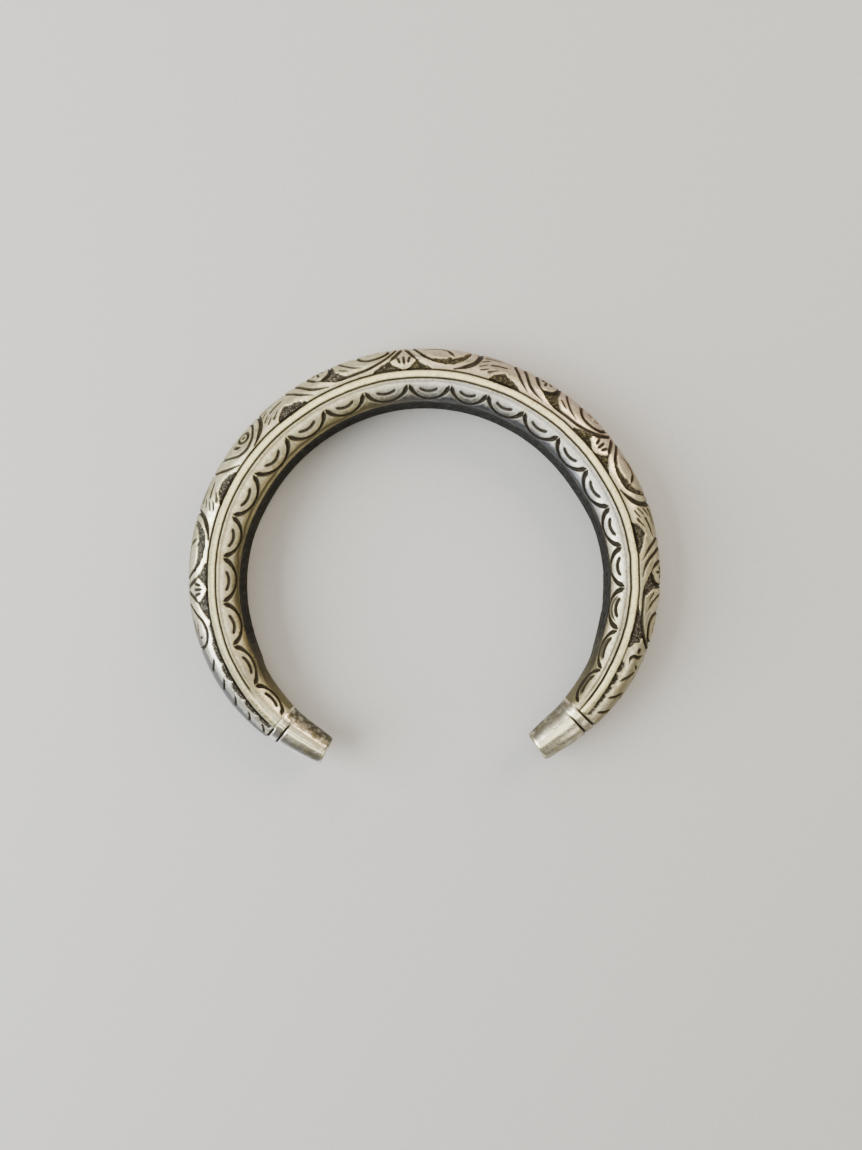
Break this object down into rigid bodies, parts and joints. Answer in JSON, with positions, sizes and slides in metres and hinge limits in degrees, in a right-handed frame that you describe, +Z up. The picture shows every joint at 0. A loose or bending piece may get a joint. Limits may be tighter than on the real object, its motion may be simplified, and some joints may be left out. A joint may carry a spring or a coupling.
{
  "type": "kada bangle",
  "caption": "Open silver bangle with chased scrolls, scalloped rims and plain tapered caps, lying on its side; worn by slipping the gap over the wrist.",
  "frame": {"origin": "on the floor under the middle of the bangle's outline, seen from above", "axes": "+Z up through the wrist opening, +Y to the closed back, the gap between the caps towards -Y, +X to the right seen from above"},
  "size_m": [0.076, 0.067, 0.0106],
  "materials": {
    "silver": "worn antique silver with dark oxidised recesses"
  },
  "bodies": {
    "root": {"bangle": "silver"}
  },
  "joints": []
}
